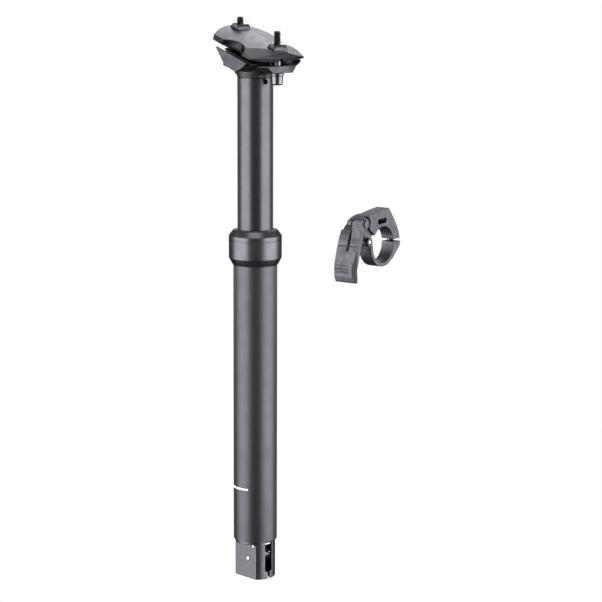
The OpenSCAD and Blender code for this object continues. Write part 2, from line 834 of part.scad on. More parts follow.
module far_arm_side() {
    polygon([[-22.3, 6], [-21.8, 9], [-19.6, 11.6], [-16.2, 15.2], [-12, 17.2], [-7.5, 18.2], [1.3, 18.4],
        [6.5, 18.9], [6.5, 16], [0, 15.6], [-7, 15.3], [-11.5, 14], [-14.5, 11.5], [-17, 8], [-20, 4]]);
}

// A groove along the bar, cut in the lever's outer face.
module lever_groove(y, z, height, x1) {
    translate([paddle_start - past, y - bar_r, z - height / 2])
        cube([x1 - paddle_start + past, bar_r, height]);
}

module remote_lever() {
    color(black) at_remote() difference() {
        union() {
            along_x(paddle_start, 0) paddle_side();
            along_x(slit_at, 0) upright_side();
            along_x(paddle_start, far_arm_end) far_arm_side();
            along_x(far_arm_end - lever_ear, far_arm_end) dot(pivot_y, pivot_up, far_eye_r);
            along_x(-lever_ear, 0) {
                dot(pivot_y, pivot_up, eye_r);
                link([pivot_y, pivot_up], [-22.8, 9.4], 4);
            }
        }
        translate([0, edge_y, -2 * bar_r]) linear_extrude(height = 3 * bar_r)
            polygon([[0, 0], [past, 0], [past, -bar_r], [-edge_cut, -edge_run]]);
        along_x(slit_at - lever_slit / 2, slit_at + lever_slit / 2)
            translate([-3 * bar_r, slit_end]) square([2 * bar_r, 2 * bar_r]);
        lever_groove(-26.1, cross_groove, 1.5, -1);
        for (i = [0 : 2]) lever_groove(-29.6, grip_top - i * grip_step, 0.8, grip_edge);
        along_x(-band_w - ear_gap, -cheek) dot(pivot_y, pivot_up, eye_r + 0.2);
        along_x(2 * paddle_start, past) dot(pivot_y, pivot_up, pivot_bolt_d / 2 + run_gap);
        translate(anchor_at) cylinder(d = anchor_d + 2 * bond_gap, h = bar_r);
    }
}

module lever_pivot_bolt() {
    color(silver) at_remote() {
        along_x(far_arm_end - lever_ear - 0.2, 0.3) dot(pivot_y, pivot_up, pivot_bolt_d / 2);
        along_x(0.1, 0.9) dot(pivot_y, pivot_up, eye_r - 0.8);
    }
}

module cable_anchor() {
    color(silver) at_remote() translate(anchor_at) {
        disc(anchor_d / 2, 3, 7);
        disc(anchor_d / 2 + 0.9, 2, 3.8);
    }
}

outer_tube();
seal_collar();
wiper_seal();
foam_ring();
upper_bush();
foot();
bump_ring();
pivot_pin();
cross_pin();
guide_pin();
cartridge_rod();
rod_jam_nut();
rod_piston();
inner_tube();
post_head();
lower_bush();
guide_keys();
cartridge_cylinder();
cartridge_gland();
floating_piston();
cartridge_cap();
retaining_ring();
lower_cradle();
upper_clamp();
front_nut();
rear_nut();
front_bolt();
rear_bolt();
front_washer();
rear_washer();
actuator_arm();
cable_barrel();
valve_pin();
valve_button();
remote_bracket();
remote_band();
band_hinge_pin();
band_bolt();
remote_lever();
lever_pivot_bolt();
cable_anchor();
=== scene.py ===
import json
import math
import bmesh
import bpy
from mathutils import Matrix, Vector


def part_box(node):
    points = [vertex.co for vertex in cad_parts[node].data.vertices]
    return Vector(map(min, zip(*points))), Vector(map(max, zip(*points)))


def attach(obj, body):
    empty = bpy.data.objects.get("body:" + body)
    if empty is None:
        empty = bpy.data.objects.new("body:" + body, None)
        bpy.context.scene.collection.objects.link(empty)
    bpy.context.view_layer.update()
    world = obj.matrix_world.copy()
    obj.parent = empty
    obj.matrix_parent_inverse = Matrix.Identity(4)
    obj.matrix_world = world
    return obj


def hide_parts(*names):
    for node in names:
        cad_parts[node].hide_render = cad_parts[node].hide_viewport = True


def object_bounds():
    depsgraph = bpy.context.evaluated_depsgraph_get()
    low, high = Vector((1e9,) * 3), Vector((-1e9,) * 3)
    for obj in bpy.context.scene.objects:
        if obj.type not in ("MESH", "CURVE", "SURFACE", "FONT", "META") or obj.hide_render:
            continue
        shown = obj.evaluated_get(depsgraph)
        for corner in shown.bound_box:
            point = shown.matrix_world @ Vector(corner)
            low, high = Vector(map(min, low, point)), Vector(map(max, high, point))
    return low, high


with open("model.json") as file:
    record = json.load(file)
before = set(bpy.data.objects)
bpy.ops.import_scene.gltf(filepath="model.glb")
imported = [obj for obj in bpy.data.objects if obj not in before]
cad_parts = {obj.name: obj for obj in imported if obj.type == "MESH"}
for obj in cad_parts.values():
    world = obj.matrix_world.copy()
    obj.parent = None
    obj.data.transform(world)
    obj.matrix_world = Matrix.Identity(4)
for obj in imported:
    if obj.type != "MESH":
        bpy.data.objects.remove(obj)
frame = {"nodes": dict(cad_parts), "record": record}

# Sizes in this script are in millimetres and in the CAD's frame, unless a comment says otherwise.
# Origin: post axis at the lower edge of the seal collar. +Z up the post, +X forwards, +Y to the rider's left.
mm = 0.001
# Corners that lie closer than this are one, in a made mesh and in a CAD solid's.
sewn = 0.0005
solidSewn = 0.002
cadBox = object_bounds()
nodes = frame["nodes"]


# Lowest and highest corner of a CAD node.
def span(node):
    low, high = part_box(node)
    return low / mm, high / mm


# The camera stands where the photograph was taken from, 1.4 m off and a little above the post's middle.
cameraView = {
    "azimuth": 47,
    "distance": 1384.2,
    "height": 211.5,
    "pitch": 9.75,
    "lens": 119.4,
    "sensor": 36,
    "framePixels": 602,
    "axisPixel": 255.3,
}


def makeCamera():
    turn = math.radians(cameraView["azimuth"])
    pitch = math.radians(cameraView["pitch"])
    data = bpy.data.cameras.new("photoCamera")
    data.lens = cameraView["lens"]
    data.sensor_width = cameraView["sensor"]
    data.shift_x = 0.5 - cameraView["axisPixel"] / cameraView["framePixels"]
    data.clip_start = 0.05
    data.clip_end = 20
    camera = bpy.data.objects.new("photoCamera", data)
    bpy.context.collection.objects.link(camera)
    reach = cameraView["distance"] * mm
    camera.location = (reach * math.sin(turn), -reach * math.cos(turn), cameraView["height"] * mm)
    camera.rotation_euler = (math.pi / 2 - pitch, 0, turn)
    bpy.context.scene.camera = camera


# Two tall soft boxes give the tubes their two long highlights; one above fills the tops, and one high behind
# the post shines along the rail clamp's upper face.
# Each is aimed at the collar; sizes and distances are in metres.
lamps = {
    "leftBox": {"azimuth": -21, "elevation": -4, "distance": 1.2, "width": 1.55, "height": 1.7, "watts": 52},
    "rightBox": {"azimuth": 119, "elevation": -4, "distance": 1.2, "width": 1.55, "height": 1.7, "watts": 52},
    "topBox": {"azimuth": 40, "elevation": 72, "distance": 1.3, "width": 0.9, "height": 0.9, "watts": 9},
    "backBox": {"azimuth": -146, "elevation": 40, "distance": 1.5, "width": 1.0, "height": 0.7, "watts": 22},
}


def makeLamps():
    for name, lamp in lamps.items():
        data = bpy.data.lights.new(name, "AREA")
        data.shape = "RECTANGLE"
        data.size = lamp["width"]
        data.size_y = lamp["height"]
        data.energy = lamp["watts"]
        light = bpy.data.objects.new(name, data)
        bpy.context.collection.objects.link(light)
        turn = math.radians(lamp["azimuth"])
        rise = math.radians(lamp["elevation"])
        away = Vector((math.sin(turn) * math.cos(rise), -math.cos(turn) * math.cos(rise), math.sin(rise)))
        light.location = away * lamp["distance"]
        light.visible_camera = False
        light.rotation_mode = "QUATERNION"
        light.rotation_quaternion = away.to_track_quat("Z", "Y")


# An sRGB hex colour as linear red, green, blue and alpha.
def linear(hexColour):
    channels = [int(hexColour[i:i + 2], 16) / 255 for i in (1, 3, 5)]
    return [c / 12.92 if c <= 0.04045 else ((c + 0.055) / 1.055) ** 2.4 for c in channels] + [1]


# Adds a node with its settings; an input is set to a value, or linked where a socket is given.
def add(tree, kind, settings=None, inputs=None):
    node = tree.nodes.new(kind)
    for key, value in (settings or {}).items():
        setattr(node, key, value)
    for key, value in (inputs or {}).items():
        if isinstance(value, bpy.types.NodeSocket):
            tree.links.new(value, node.inputs[key])
        else:
            node.inputs[key].default_value = value
    return node


def emptyMaterial(name):
    material = bpy.data.materials.new(name)
    material.use_nodes = True
    material.node_tree.nodes.clear()
    return material, material.node_tree


# Noise of a real grain size in millimetres; the object's own coordinates are in metres.
def grain(tree, coordinates, size, detail=3):
    return add(tree, "ShaderNodeTexNoise", {"noise_dimensions": "3D"},
               {"Vector": coordinates, "Scale": 1 / (size * mm), "Detail": detail,
                "Roughness": 0.55}).outputs[0]


def spread(tree, value, low, high, start=0.35, stop=0.65):
    return add(tree, "ShaderNodeMapRange", {"interpolation_type": "SMOOTHSTEP"},
               {"Value": value, "From Min": start, "From Max": stop, "To Min": low,
                "To Max": high}).outputs[0]


def mixValue(tree, factor, first, second):
    return add(tree, "ShaderNodeMix", {"data_type": "FLOAT"}, {0: factor, 2: first, 3: second}).outputs[0]


def mixColour(tree, factor, first, second):
    mix = add(tree, "ShaderNodeMix", {"data_type": "RGBA"}, {"Factor": factor})
    for socket, colour in ((mix.inputs[6], first), (mix.inputs[7], second)):
        if isinstance(colour, bpy.types.NodeSocket):
            tree.links.new(colour, socket)
        else:
            socket.default_value = linear(colour)
    return mix.outputs[2]


# How much of a face stands steep, from its own normal: steep faces take painted shade, where the upward faces
# keep the lighter tone.
def paintedShadeShare(tree, look):
    normal = add(tree, "ShaderNodeTexCoord").outputs["Normal"]
    rise = add(tree, "ShaderNodeVectorMath", {"operation": "DOT_PRODUCT"},
               {0: normal, 1: (0, 0, 1)}).outputs["Value"]
    return spread(tree, rise, 1, 0, look["paintedShadeFrom"], look["paintedShadeTo"])


# Where each noise starts to turn from one tone to the other, and where it has turned.
noiseTurn = {"patch": (0.3, 0.7), "fleck": (0.52, 0.72), "streak": (0.4, 0.62)}


# One finish from its dictionary: two tones patched by noise, and a fine grain in the bump.
# Grains, patches and depths are in millimetres.
def finish(name, look):
    material, tree = emptyMaterial(name)
    coordinates = add(tree, "ShaderNodeTexCoord").outputs["Object"]
    fine = grain(tree, coordinates, look["grain"])
    broad = grain(tree, coordinates, look["patch"], 4)
    colour = mixColour(tree, spread(tree, broad, 0, 1, *noiseTurn["patch"]), look["tone"], look["toneAlt"])
    if look.get("speckle"):
        flecks = spread(tree, fine, 0, look["speckle"], *noiseTurn["fleck"])
        colour = mixColour(tree, flecks, colour, look["fleck"])
    # Steep faces take a darker tone by their normal: painted shade on the flanks, laid in level streaks.
    if look.get("paintedFlankTone"):
        steep = paintedShadeShare(tree, look)
        level = add(tree, "ShaderNodeMapping", None, {"Vector": coordinates, "Scale": look["streak"]})
        streaks = grain(tree, level.outputs[0], look["patch"])
        shade = spread(tree, streaks, 0, 1, *noiseTurn["streak"])
        shadedFlankTone = mixColour(tree, shade, look["paintedFlankTone"], look["paintedFlankToneAlt"])
        colour = mixColour(tree, steep, colour, shadedFlankTone)
    low, high = look["roughness"]
    rough = spread(tree, broad, low, high)
    bump = add(tree, "ShaderNodeBump", None,
               {"Strength": look["bump"], "Distance": look["depth"] * mm, "Height": fine}).outputs[0]
    if look.get("lathe"):
        # The wave runs through 20 radians in a unit of its scale
        lines = add(tree, "ShaderNodeTexWave", {"wave_type": "BANDS", "bands_direction": look["latheAxis"]},
                    {"Vector": coordinates, "Scale": 1 / (20 * look["lathe"] * mm), "Distortion": 1.5,
                     "Detail": 2, "Detail Scale": 2})
        bump = add(tree, "ShaderNodeBump", None,
                   {"Strength": look["latheBump"], "Distance": look["latheDepth"] * mm,
                    "Height": lines.outputs["Fac"], "Normal": bump}).outputs[0]
    shader = add(tree, "ShaderNodeBsdfPrincipled", None,
                 {"Base Color": colour, "Roughness": rough, "Normal": bump,
                  "Metallic": look.get("metal", 0), "Specular IOR Level": look.get("specular", 0.5)})
    if look.get("edgeTint"):
        shader.inputs["Specular Tint"].default_value = linear(look["edgeTint"])
    output = add(tree, "ShaderNodeOutputMaterial")
    tree.links.new(shader.outputs[0], output.inputs["Surface"])
    return material


finishes = {
    # Satin black anodised aluminium of the outer tube
    "blackAnodised": {"tone": "#404043", "toneAlt": "#3d3d40", "grain": 0.12, "patch": 9,
                      "roughness": (0.43, 0.46), "bump": 0.06, "depth": 0.005, "metal": 1,
                      "edgeTint": "#ececec"},
    # The same black on the collar, turned finer and so glossier
    "glossAnodised": {"tone": "#4a4a4d", "toneAlt": "#464649", "grain": 0.12, "patch": 9,
                      "roughness": (0.32, 0.35), "bump": 0.05, "depth": 0.005, "metal": 1,
                      "edgeTint": "#9a9a9a"},
    # Milled faces of the foot, a little rougher than the turned tube
    "milledBlack": {"tone": "#434347", "toneAlt": "#404044", "grain": 0.3, "patch": 3,
                    "roughness": (0.35, 0.39), "bump": 0.35, "depth": 0.03, "metal": 1,
                    "edgeTint": "#c8c8c8", "speckle": 0.3, "fleck": "#58585c"},
    # The same black, rolled smoother where the inner tube slides
    "slidingBlack": {"tone": "#424245", "toneAlt": "#3f3f42", "grain": 0.12, "patch": 9,
                     "roughness": (0.3, 0.33), "bump": 0.04, "depth": 0.005, "metal": 1,
                     "edgeTint": "#c8c8c8"},
    # Blasted and black anodised forging, its grain catching the light
    "forgedBlack": {"tone": "#39393c", "toneAlt": "#343437", "grain": 0.26, "patch": 5,
                    "roughness": (0.42, 0.52), "bump": 0.4, "depth": 0.06, "metal": 1,
                    "edgeTint": "#b0b0b0", "speckle": 0.4, "fleck": "#606064"},
    # Upper rail clamp: the blasted forging in a lighter tone on its upward faces as a painted highlight, with
    # painted shade in level streaks on its steep flanks
    "litTopShadedFlankForging": {"tone": "#5a5a5d", "toneAlt": "#545457", "grain": 0.26, "patch": 5,
                      "roughness": (0.42, 0.48), "bump": 0.4, "depth": 0.06, "metal": 1,
                      "edgeTint": "#b0b0b0", "speckle": 0.4, "fleck": "#7a7a7e", "paintedFlankTone": "#19191b",
                      "paintedFlankToneAlt": "#2c2c2f", "streak": (0.15, 0.15, 3), "paintedShadeFrom": 0.5, "paintedShadeTo": 0.85},
    # Blasted and anodised castings of the remote
    "blastedGrey": {"tone": "#444448", "toneAlt": "#3f3f43", "grain": 0.26, "patch": 4,
                    "roughness": (0.46, 0.56), "bump": 0.4, "depth": 0.06, "metal": 1,
                    "edgeTint": "#b0b0b0", "speckle": 0.4, "fleck": "#66666a"},
    # Bright ground steel of the pins and the actuator arm
    "groundSteel": {"tone": "#98999c", "toneAlt": "#88898c", "grain": 0.15, "patch": 2.5,
                    "roughness": (0.24, 0.34), "bump": 0.15, "depth": 0.01, "metal": 1},
    # Zinc plated steel of the bolts and washers
    "zincSteel": {"tone": "#58595c", "toneAlt": "#4a4b4e", "grain": 0.15, "patch": 2.5,
                  "roughness": (0.2, 0.3), "bump": 0.15, "depth": 0.01, "metal": 1},
    # Blackened steel of the nuts, the bolts' threads and the cable barrel; its dark tone is also painted
    # shade for the nuts sunk in their pockets
    "blackenedAndShadedSteel": {"tone": "#3e3e42", "toneAlt": "#2e2e31", "grain": 0.15, "patch": 2.5,
                  "roughness": (0.3, 0.4), "bump": 0.15, "depth": 0.01, "metal": 1},
    # Hard chromed rod of the cartridge
    "chromedRod": {"tone": "#d6d8da", "toneAlt": "#cfd1d3", "grain": 0.1, "patch": 8,
                   "roughness": (0.08, 0.12), "bump": 0.05, "depth": 0.005, "metal": 1},
    # Bare turned aluminium of the cartridge
    "turnedAlloy": {"tone": "#c6c7c9", "toneAlt": "#babbbd", "grain": 0.15, "patch": 5,
                    "roughness": (0.3, 0.38), "bump": 0.1, "depth": 0.01, "metal": 1, "lathe": 0.12,
                    "latheAxis": "Z", "latheBump": 0.12, "latheDepth": 0.004},
    # Machined brass of the guide keys
    "machinedBrass": {"tone": "#c7a45c", "toneAlt": "#b8934a", "grain": 0.15, "patch": 3,
                      "roughness": (0.26, 0.36), "bump": 0.12, "depth": 0.01, "metal": 1},
    # Moulded nitrile rubber of the wiper seal and the bump ring
    "mouldedRubber": {"tone": "#131314", "toneAlt": "#19191a", "grain": 0.3, "patch": 4,
                      "roughness": (0.5, 0.62), "bump": 0.3, "depth": 0.03, "specular": 0.4},
    # Oiled open foam of the lubricating ring
    "oiledFoam": {"tone": "#3a3a30", "toneAlt": "#2b2b24", "grain": 0.5, "patch": 2,
                  "roughness": (0.7, 0.85), "bump": 0.9, "depth": 0.25},
    # Acetal of the guide bushes
    "acetal": {"tone": "#4d4d50", "toneAlt": "#454548", "grain": 0.2, "patch": 5,
               "roughness": (0.42, 0.5), "bump": 0.12, "depth": 0.01},
    # White ink of the insertion line
    "whiteInk": {"tone": "#e9e9e6", "toneAlt": "#dcdcd9", "grain": 0.1, "patch": 2,
                 "roughness": (0.45, 0.55), "bump": 0.2, "depth": 0.01},
}
materials = {name: finish(name, look) for name, look in finishes.items()}

slotFinish = {
    "black_anodised": "blackAnodised", "black_forged": "forgedBlack", "bare_alloy": "turnedAlloy",
    "steel": "zincSteel", "chrome": "chromedRod", "brass": "machinedBrass", "rubber": "mouldedRubber",
    "foam": "oiledFoam", "guide_plastic": "acetal",
}
slotOf = {part["node"]: part["material_slot"] for part in frame["record"]["subparts"]}
bodyOf = {node: body for body, held in frame["record"]["behaviour"]["bodies"].items() for node in held}


def dressNodes():
    for name, node in nodes.items():
        material = materials[slotFinish[slotOf[name]]]
        node.data.materials.clear()
        node.data.materials.append(material)


# The post hangs free over the floor, as it does in the photograph; sizes are in metres.
floorLook = {"radius": 6, "below": 0.85, "colour": "#f6f6f5", "glow": 0.5, "mirrored": 0.14, "fadeFrom": 0.3,
             "fadeTo": 1.2}


def makeFloor():
    data = bpy.data.meshes.new("floor")
    disc = bmesh.new()
    bmesh.ops.create_circle(disc, cap_ends=True, radius=floorLook["radius"], segments=96)
    disc.to_mesh(data)
    disc.free()
    floor = bpy.data.objects.new("floor", data)
    bpy.context.collection.objects.link(floor)
    floor.location.z = cadBox[0].z - floorLook["below"]
    material, tree = emptyMaterial("palePaper")
    coordinates = add(tree, "ShaderNodeTexCoord").outputs["Object"]
    away = add(tree, "ShaderNodeVectorMath", {"operation": "LENGTH"}, {0: coordinates}).outputs["Value"]
    fade = spread(tree, away, floorLook["glow"], 1, floorLook["fadeFrom"], floorLook["fadeTo"])
    paper = add(tree, "ShaderNodeBsdfDiffuse", None, {"Color": linear(floorLook["colour"])})
    path = add(tree, "ShaderNodeLightPath")
    glossy = path.outputs["Is Glossy Ray"]
    seen = add(tree, "ShaderNodeMath", {"operation": "MULTIPLY"},
               {0: fade, 1: path.outputs["Is Camera Ray"]}).outputs[0]
    share = mixValue(tree, glossy, seen, 1)
    glow = add(tree, "ShaderNodeEmission", None,
               {"Color": (1, 1, 1, 1), "Strength": mixValue(tree, glossy, 1, floorLook["mirrored"])})
    mix = add(tree, "ShaderNodeMixShader", None, {0: share, 1: paper.outputs[0], 2: glow.outputs[0]})
    output = add(tree, "ShaderNodeOutputMaterial")
    tree.links.new(mix.outputs[0], output.inputs["Surface"])
    floor.data.materials.append(material)


# The camera sees plain white. Glossy surfaces see the same pale backdrop behind the post and a darker room
# on the camera's side of it; the rest is a weak fill light.
worldLook = {"fill": 0.15, "room": 0.42, "backdrop": 1, "backdropAt": 47, "turnFrom": -0.3, "turnTo": 0.9}


def makeWorld():
    world = bpy.data.worlds.new("paleStudio")
    bpy.context.scene.world = world
    world.use_nodes = True
    tree = world.node_tree
    tree.nodes.clear()
    path = add(tree, "ShaderNodeLightPath")
    looking = add(tree, "ShaderNodeTexCoord").outputs["Generated"]
    turn = math.radians(worldLook["backdropAt"])
    away = add(tree, "ShaderNodeVectorMath", {"operation": "DOT_PRODUCT"},
               {0: looking, 1: (-math.sin(turn), math.cos(turn), 0)}).outputs["Value"]
    mirrored = spread(tree, away, worldLook["room"], worldLook["backdrop"], worldLook["turnFrom"],
                      worldLook["turnTo"])
    strength = mixValue(tree, path.outputs["Is Glossy Ray"], worldLook["fill"], mirrored)
    seen = add(tree, "ShaderNodeMath", {"operation": "MAXIMUM"},
               {0: path.outputs["Is Camera Ray"], 1: path.outputs["Is Transmission Ray"]}).outputs[0]
    strength = mixValue(tree, seen, strength, 1)
    background = add(tree, "ShaderNodeBackground", None, {"Color": (1, 1, 1, 1), "Strength": strength})
    output = add(tree, "ShaderNodeOutputWorld")
    tree.links.new(background.outputs[0], output.inputs["Surface"])


# A corner given as (radius, height, fillet) becomes a short arc; without a fillet it stays sharp.
def eased(outline, steps=4):
    points = []
    for i, corner in enumerate(outline):
        here = Vector(corner[:2])
        fillet = corner[2] if len(corner) > 2 else 0
        if not fillet:
            points.append(here)
            continue
        before = (Vector(outline[i - 1][:2]) - here).normalized()
        after = (Vector(outline[(i + 1) % len(outline)][:2]) - here).normalized()
        half = before.angle(after) / 2
        centre = here + (before + after).normalized() * fillet / math.sin(half)
        start = here + before * fillet / math.tan(half) - centre
        stop = here + after * fillet / math.tan(half) - centre
        for k in range(steps + 1):
            points.append(centre + start.lerp(stop, k / steps).normalized() * fillet)
    return points


# Spins an outline of radius and height about Z. A closed outline makes a ring, an open one ends on the axis.
def turned(outline, closed=False, steps=144):
    mesh = bmesh.new()
    verts = [mesh.verts.new((r, 0, z)) for r, z in eased(outline)]
    pairs = list(zip(verts, verts[1:]))
    if closed:
        pairs.append((verts[-1], verts[0]))
    edges = [mesh.edges.new(pair) for pair in pairs]
    bmesh.ops.spin(mesh, geom=verts + edges, cent=(0, 0, 0), axis=(0, 0, 1), angle=2 * math.pi, steps=steps,
                   use_merge=True)
    bmesh.ops.remove_doubles(mesh, verts=mesh.verts, dist=sewn)
    return mesh


# Turns a mesh's finished millimetres into a piece that rides on its CAD body in place of its nodes.
def makePiece(name, mesh, material, replaced, body=None):
    bmesh.ops.remove_doubles(mesh, verts=mesh.verts, dist=sewn)
    bmesh.ops.recalc_face_normals(mesh, faces=mesh.faces)
    bmesh.ops.scale(mesh, vec=(mm, mm, mm), verts=mesh.verts)
    data = bpy.data.meshes.new(name)
    mesh.to_mesh(data)
    mesh.free()
    dressPiece(name, data, material, replaced, body)


# Edges that turn by more than the angle, in degrees, are shaded sharp.
def dressPiece(name, data, material, replaced, body=None, angle=32):
    data.shade_smooth()
    data.set_sharp_from_angle(angle=math.radians(angle))
    data.materials.clear()
    data.materials.append(materials[material])
    piece = bpy.data.objects.new(name, data)
    bpy.context.collection.objects.link(piece)
    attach(piece, body or bodyOf[replaced[0]])
    if replaced:
        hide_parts(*replaced)


# The mesh of an object with its modifiers, as new data.
def baked(scratch):
    bpy.context.view_layer.update()
    depsgraph = bpy.context.evaluated_depsgraph_get()
    return bpy.data.meshes.new_from_object(scratch.evaluated_get(depsgraph))


def scratchObject(mesh):
    data = bpy.data.meshes.new("scratch")
    mesh.to_mesh(data)
    mesh.free()
    scratch = bpy.data.objects.new("scratch", data)
    bpy.context.collection.objects.link(scratch)
    return scratch


# Cuts one mesh out of another, both in millimetres.
def carved(body, cutter):
    whole, tool = scratchObject(body), scratchObject(cutter)
    cut = whole.modifiers.new("cut", "BOOLEAN")
    cut.operation = "DIFFERENCE"
    cut.solver = "EXACT"
    cut.object = tool
    data = baked(whole)
    mesh = bmesh.new()
    mesh.from_mesh(data)
    for scratch in (whole, tool):
        bpy.data.objects.remove(scratch)
    bpy.data.meshes.remove(data)
    return mesh


# A rod about an axis through a point, for a pin or as a tool that cuts a hole.
def rod(radius, length, centre, axis, steps=64):
    mesh = bmesh.new()
    bmesh.ops.create_cone(mesh, cap_ends=True, segments=steps, radius1=radius, radius2=radius, depth=length)
    turn = Vector(axis).to_track_quat("Z", "Y").to_matrix().to_4x4()
    bmesh.ops.transform(mesh, matrix=Matrix.Translation(centre) @ turn, verts=mesh.verts)
    return mesh


# A CAD solid's mesh in millimetres, with its faces sewn together.
def solid(node):
    mesh = bmesh.new()
    mesh.from_mesh(nodes[node].data)
    bmesh.ops.scale(mesh, vec=(1 / mm,) * 3, verts=mesh.verts)
    bmesh.ops.remove_doubles(mesh, verts=mesh.verts, dist=solidSewn)
    return mesh


# How finely each forging is remeshed, in millimetres, and how many rounds of smoothing soften its edges.
forgings = {
    "head": {"voxel": 0.34, "rounds": 6},
    "railClamp": {"voxel": 0.3, "rounds": 2},
    "foot": {"voxel": 0.28, "rounds": 2},
    "remoteClamp": {"voxel": 0.24, "rounds": 4},
    "remoteLever": {"voxel": 0.2, "rounds": 1},
}


# A forging takes the CAD solid's form, and its edges are rounded by a fine remesh that is then relaxed.
def forged(name, node, material, voxel, rounds):
    scratch = scratchObject(solid(node))
    skin = scratch.modifiers.new("skin", "REMESH")
    skin.mode = "VOXEL"
    skin.voxel_size = voxel
    relax = scratch.modifiers.new("relax", "SMOOTH")
    relax.factor = 0.5
    relax.iterations = rounds
    data = baked(scratch)
    bpy.data.objects.remove(scratch)
    for vert in data.vertices:
        vert.co = vert.co * mm
    dressPiece(name, data, material, [node], angle=180)


# A machined piece takes the CAD solid's form, with its sharp edges broken by a small bevel.
# Faces within the flat angle are joined, and edges past the sharp angle are bevelled; both are in degrees.
machinedLook = {"flat": 1, "sharp": 35, "bevel": 0.2, "hingePinBevel": 0.5, "pivotBoltBevel": 0.4}


def machined(name, node, material, width=machinedLook["bevel"], cutter=None):
    mesh = solid(node)
    if cutter:
        mesh = carved(mesh, cutter)
    bmesh.ops.dissolve_limit(mesh, angle_limit=math.radians(machinedLook["flat"]), verts=mesh.verts,
                             edges=mesh.edges)
    limit = math.radians(machinedLook["sharp"])
    sharp = [edge for edge in mesh.edges if len(edge.link_faces) == 2 and edge.calc_face_angle() > limit]
    bmesh.ops.bevel(mesh, geom=sharp, offset=width, offset_type="OFFSET", affect="EDGES", segments=2,
                    profile=0.5, clamp_overlap=True, material=-1)
    bmesh.ops.triangulate(mesh, faces=[face for face in mesh.faces if len(face.verts) > 4])
    makePiece(name, mesh, material, [node])


# The outer tube's wall and broken edges, and its ring of white ink, which stands a little proud.
outerTubeLook = {"wall": 1.75, "edge": 0.35}
lineLook = {"above": 38.0, "height": 1.2, "stand": 0.02, "thick": 0.1, "start": 297, "turn": 252,
            "steps": 120}


def makeOuterTube():
    low, high = span("outer_tube")
    radius = high.x
    bore = radius - outerTubeLook["wall"]
    edge = outerTubeLook["edge"]
    tube = turned([(bore, low.z), (radius, low.z, edge), (radius, high.z, edge), (bore, high.z)], closed=True)
    makePiece("outerTube", tube, "blackAnodised", ["outer_tube"])


def makeInsertionLine():
    low, high = span("outer_tube")
    ink = high.x + lineLook["stand"]
    back = ink - lineLook["thick"]
    z = low.z + lineLook["above"]
    top = z + lineLook["height"]
    line = bmesh.new()
    verts = [line.verts.new((r, 0, h)) for r, h in ((back, z), (ink, z), (ink, top), (back, top))]
    edges = [line.edges.new(pair) for pair in zip(verts, verts[1:])]
    start = Matrix.Rotation(math.radians(lineLook["start"]), 4, "Z")
    bmesh.ops.transform(line, matrix=start, verts=line.verts)
    bmesh.ops.spin(line, geom=verts + edges, cent=(0, 0, 0), axis=(0, 0, -1),
                   angle=math.radians(lineLook["turn"]), steps=lineLook["steps"])
    makePiece("insertionLine", line, "whiteInk", [], "outer")


# The collar's two cones, its mouth round the wiper seal and the fine groove turned near its top.
collarLook = {
    "footOut": 0.4, "footEdge": 0.15,
    "lowCone": 5, "lowBend": 1.2, "highCone": 3.9, "highBend": 1.0,
    "mouth": 1.4, "mouthEdge": 0.5, "mouthDeep": 8.5, "boreEdge": 0.2, "play": 0.02,
    "grooveBelow": 2.9, "grooveHalf": 0.22, "grooveDeep": 0.35, "grooveEdge": 0.1,
}


def makeSealCollar():
    look = collarLook
    low, high = span("seal_collar")
    sealRadius = span("wiper_seal")[1].x
    radius = high.x
    tube = span("outer_tube")[1].x
    inside = tube + look["play"]
    mouth = sealRadius + look["mouth"]
    bore = sealRadius + look["play"]
    shoulder = high.z - look["highCone"]
    step = high.z - look["mouthDeep"]
    groove = shoulder - look["grooveBelow"]
    half = look["grooveHalf"]
    floor = radius - look["grooveDeep"]
    outline = [(inside, low.z), (tube + look["footOut"], low.z, look["footEdge"]),
               (radius, low.z + look["lowCone"], look["lowBend"]),
               (radius, groove - half, look["grooveEdge"]), (floor, groove - half),
               (floor, groove + half), (radius, groove + half, look["grooveEdge"]),
               (radius, shoulder, look["highBend"]), (mouth, high.z, look["mouthEdge"]),
               (bore, high.z, look["boreEdge"]), (bore, step), (inside, step)]
    makePiece("sealCollar", turned(outline, closed=True), "glossAnodised", ["seal_collar"])


# The wiper seal: an outer rim, a valley and the thin lip that wipes the inner tube.
wiperLook = {
    "wall": 1.7, "rimIn": 0.5, "rimDeep": 0.5, "rimBelow": 0.05, "rimEdge": 0.2,
    "valleyOut": 0.75, "valleyDeep": 0.75, "crestOut": 0.35, "crestEdge": 0.15,
    "tipDeep": 0.3, "tipEdge": 0.1, "hollowOut": 0.3, "hollowDeep": 1.6, "lipDeep": 2.6,
}


def makeWiperSeal():
    look = wiperLook
    low, high = span("wiper_seal")
    radius = high.x
    bore = radius - look["wall"]
    outline = [(bore, low.z), (radius, low.z), (radius, high.z - look["rimDeep"], look["rimEdge"]),
               (radius - look["rimIn"], high.z - look["rimBelow"], look["rimEdge"]),
               (bore + look["valleyOut"], high.z - look["valleyDeep"], look["crestEdge"]),
               (bore + look["crestOut"], high.z, look["crestEdge"]),
               (bore, high.z - look["tipDeep"], look["tipEdge"]),
               (bore + look["hollowOut"], high.z - look["hollowDeep"], look["rimEdge"]),
               (bore, high.z - look["lipDeep"], look["rimEdge"])]
    makePiece("wiperSeal", turned(outline, closed=True), "mouldedRubber", ["wiper_seal"])


# The inner tube's wall and edges, and the small vent hole below its top; the turn is in degrees.
innerTubeLook = {"wall": 2, "lowEdge": 0.4, "topEdge": 0.15, "ventTurn": -8, "ventRadius": 1.7,
                 "ventBelow": 2.6, "ventLength": 8}


